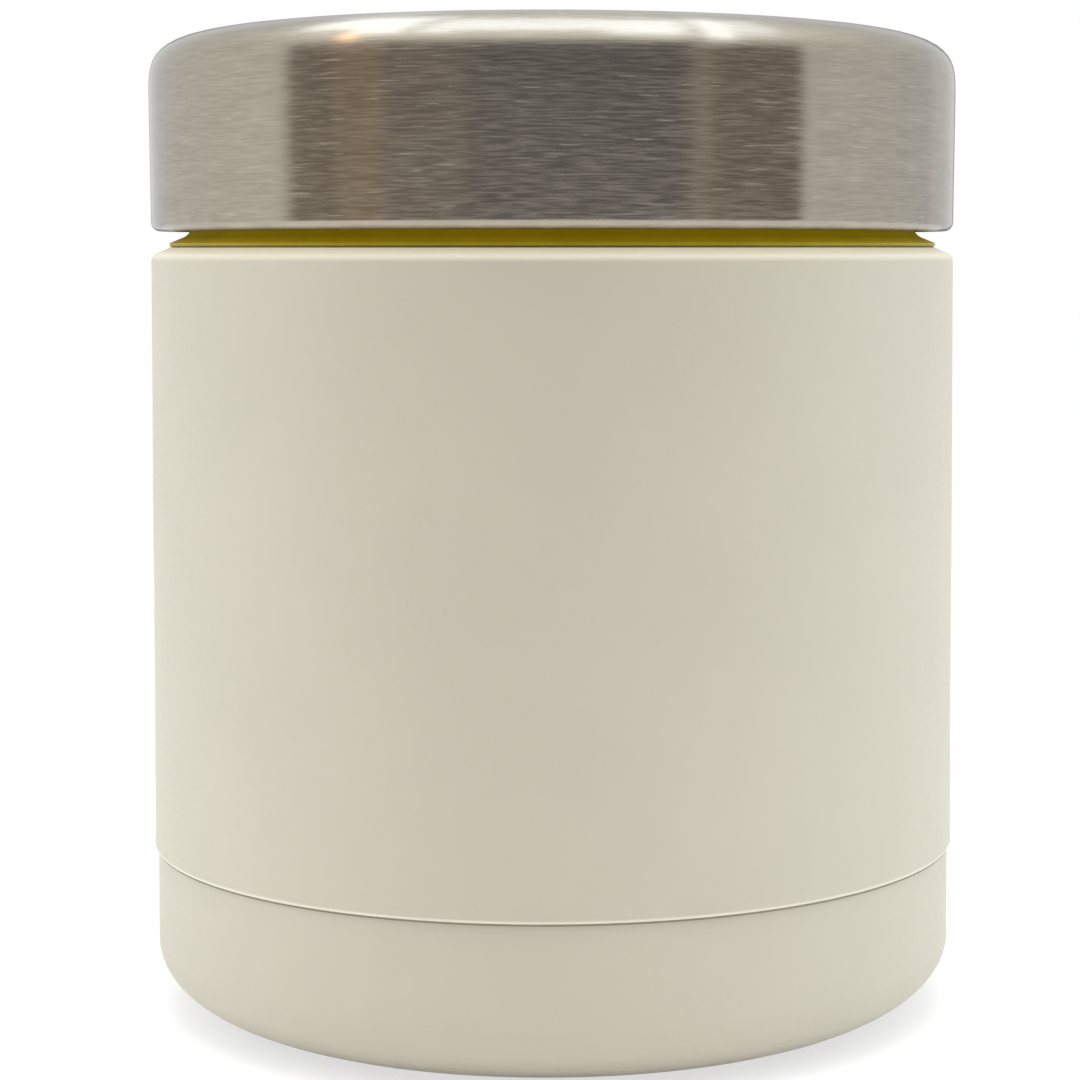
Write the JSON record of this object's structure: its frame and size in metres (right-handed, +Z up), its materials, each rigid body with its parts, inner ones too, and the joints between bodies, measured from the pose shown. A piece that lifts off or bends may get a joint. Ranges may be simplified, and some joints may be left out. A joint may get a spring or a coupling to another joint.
{
  "type": "insulated food jar",
  "caption": "Double-walled steel food jar with a painted body, a separate base cup and a brushed steel lid that screws on and seals the wide mouth.",
  "frame": {"origin": "centre of the flat ring under the base that the jar stands on", "axes": "+Z up along the jar's axis, through the mouth; the jar is round, so X and Y are free, and +X is where the neck's first thread ridge starts"},
  "size_m": [0.0904, 0.0904, 0.1084],
  "materials": {
    "cream_paint": "matt powder coat on steel",
    "brushed_lid_steel": "brushed round the lid",
    "plain_steel": "satin, food grade",
    "olive_silicone": "matt",
    "copper_foil": "bright foil",
    "getter_alloy": "sintered",
    "sealing_glass": "fused solder glass",
    "liner_plastic": "moulded polypropylene",
    "lid_foam": "expanded foam",
    "seal_silicone": "translucent white silicone"
  },
  "bodies": {
    "jar": {"outer_shell": "cream_paint", "base_cup": "cream_paint", "neck_band": "olive_silicone", "inner_vessel": "plain_steel", "radiation_foil": "copper_foil", "vacuum_bottom": "plain_steel", "vacuum_seal": "sealing_glass", "getter": "getter_alloy"},
    "seal": {"lid_seal": "seal_silicone"},
    "lid": {"lid_cover": "brushed_lid_steel", "lid_liner": "liner_plastic", "plug_cup": "liner_plastic", "lid_foam": "lid_foam"}
  },
  "joints": [
    {"name": "lid_rise", "type": "slide", "parent": "jar", "child": "seal", "axis": [0, 0, 1], "range_m": [0, 0.04]},
    {"name": "lid_turn", "type": "hinge", "parent": "seal", "child": "lid", "pos_m": [0, 0, 0.1], "axis": [0, 0, 1], "range_deg": [0, 1800]}
  ],
  "couplings": [
    {"joint": "lid_rise", "follows": "lid_turn", "m_per_rad": 0.0012732}
  ]
}
